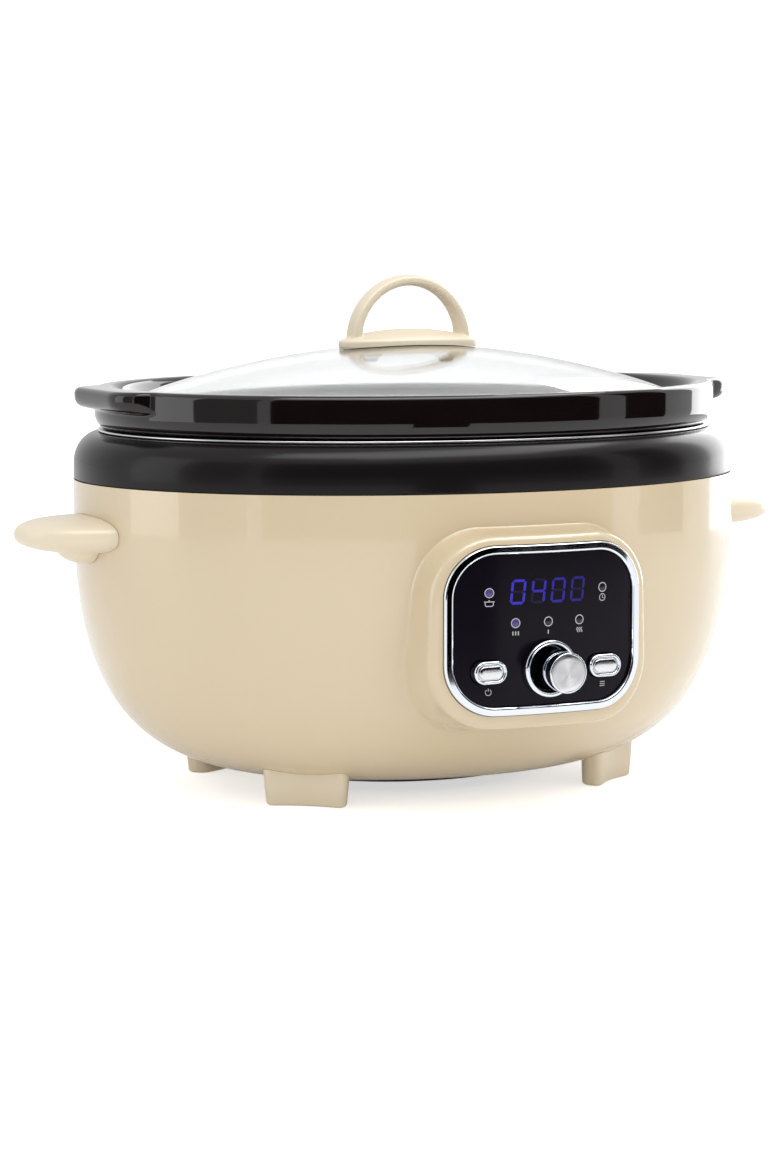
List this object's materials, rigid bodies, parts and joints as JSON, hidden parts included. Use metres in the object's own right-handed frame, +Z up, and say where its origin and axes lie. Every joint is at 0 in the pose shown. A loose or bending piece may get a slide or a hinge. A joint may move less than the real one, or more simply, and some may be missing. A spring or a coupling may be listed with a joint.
{
  "type": "slow cooker",
  "caption": "Oval electric slow cooker: cream housing with bowed front control panel, lift-out dark glazed stoneware crock, domed glass lid with arch handle.",
  "frame": {"origin": "on the floor, midway between the left and right handle tips and midway between the knob face and the rear wall", "axes": "+X to the right handle, -Y to the control panel, +Z up"},
  "size_m": [0.416, 0.3068, 0.2545],
  "materials": {
    "shell_cream": "gloss lacquered cream",
    "handle_cream": "satin moulded cream",
    "collar_dark": "satin dark grey brown",
    "crock_glaze": "glossy near-black brown glaze",
    "lid_glass": "clear tempered glass",
    "chrome": "polished plate",
    "spun_aluminium": "spun face",
    "fascia_black": "smoked gloss panel",
    "display_black": "filter window over a numeric display",
    "black_plastic": "textured black",
    "sheet_metal": "pressed sheet, satin",
    "steel": "zinc plated",
    "silicone": "matt translucent grey",
    "circuit_board": "green solder mask",
    "mica": "mica sheet",
    "insulation": "glass wool felt",
    "lamp": "diffusing light pipe"
  },
  "bodies": {
    "housing": {"outer_shell": "shell_cream", "collar_ring": "collar_dark", "heating_well": "sheet_metal", "band_heater": "mica", "insulation_wrap": "insulation", "base_plate": "black_plastic", "cord_gland": "black_plastic", "panel_bezel": "chrome", "panel_fascia": "fascia_black", "display_module": "display_black", "control_board": "circuit_board", "panel_rear_cover": "black_plastic", "power_board": "circuit_board", "relay": "black_plastic", "thermal_fuse": "steel", "temperature_sensor": "sheet_metal", "panel_lead": "silicone", "knob_ring": "chrome", "encoder_body": "steel", "power_switch": "black_plastic", "menu_switch": "black_plastic", "left_handle": "handle_cream", "right_handle": "handle_cream", "high_lamp": "lamp", "low_lamp": "lamp", "warm_lamp": "lamp", "cooking_lamp": "lamp", "delay_lamp": "lamp", "base_screw_1": "steel", "base_screw_2": "steel", "base_screw_3": "steel", "base_screw_4": "steel", "front_left_foot": "handle_cream", "front_left_foot_screw": "steel", "left_handle_front_screw": "steel", "front_right_foot": "handle_cream", "front_right_foot_screw": "steel", "right_handle_front_screw": "steel", "rear_left_foot": "handle_cream", "rear_left_foot_screw": "steel", "left_handle_rear_screw": "steel", "rear_right_foot": "handle_cream", "rear_right_foot_screw": "steel", "right_handle_rear_screw": "steel"},
    "crock": {"crock": "crock_glaze"},
    "lid": {"lid_glass": "lid_glass", "lid_handle": "handle_cream", "left_lid_screw": "steel", "right_lid_screw": "steel", "left_lid_washer": "silicone", "right_lid_washer": "silicone"},
    "knob": {"knob": "chrome", "knob_cap": "spun_aluminium"},
    "power_button": {"power_button": "chrome"},
    "menu_button": {"menu_button": "chrome"}
  },
  "joints": [
    {"name": "crock_lift", "type": "slide", "parent": "housing", "child": "crock", "axis": [0, 0, 1], "range_m": [0, 0.2]},
    {"name": "lid_lift", "type": "slide", "parent": "crock", "child": "lid", "axis": [0, 0, 1], "range_m": [0, 0.12]},
    {"name": "knob_turn", "type": "hinge", "parent": "housing", "child": "knob", "pos_m": [0, -0.14, 0.0741], "axis": [0, -1, 0], "continuous": true},
    {"name": "power_press", "type": "slide", "parent": "housing", "child": "power_button", "axis": [0, 1, 0], "range_m": [0, 0.0015], "stiffness_N_per_m": 800},
    {"name": "menu_press", "type": "slide", "parent": "housing", "child": "menu_button", "axis": [0, 1, 0], "range_m": [0, 0.0015], "stiffness_N_per_m": 800}
  ]
}
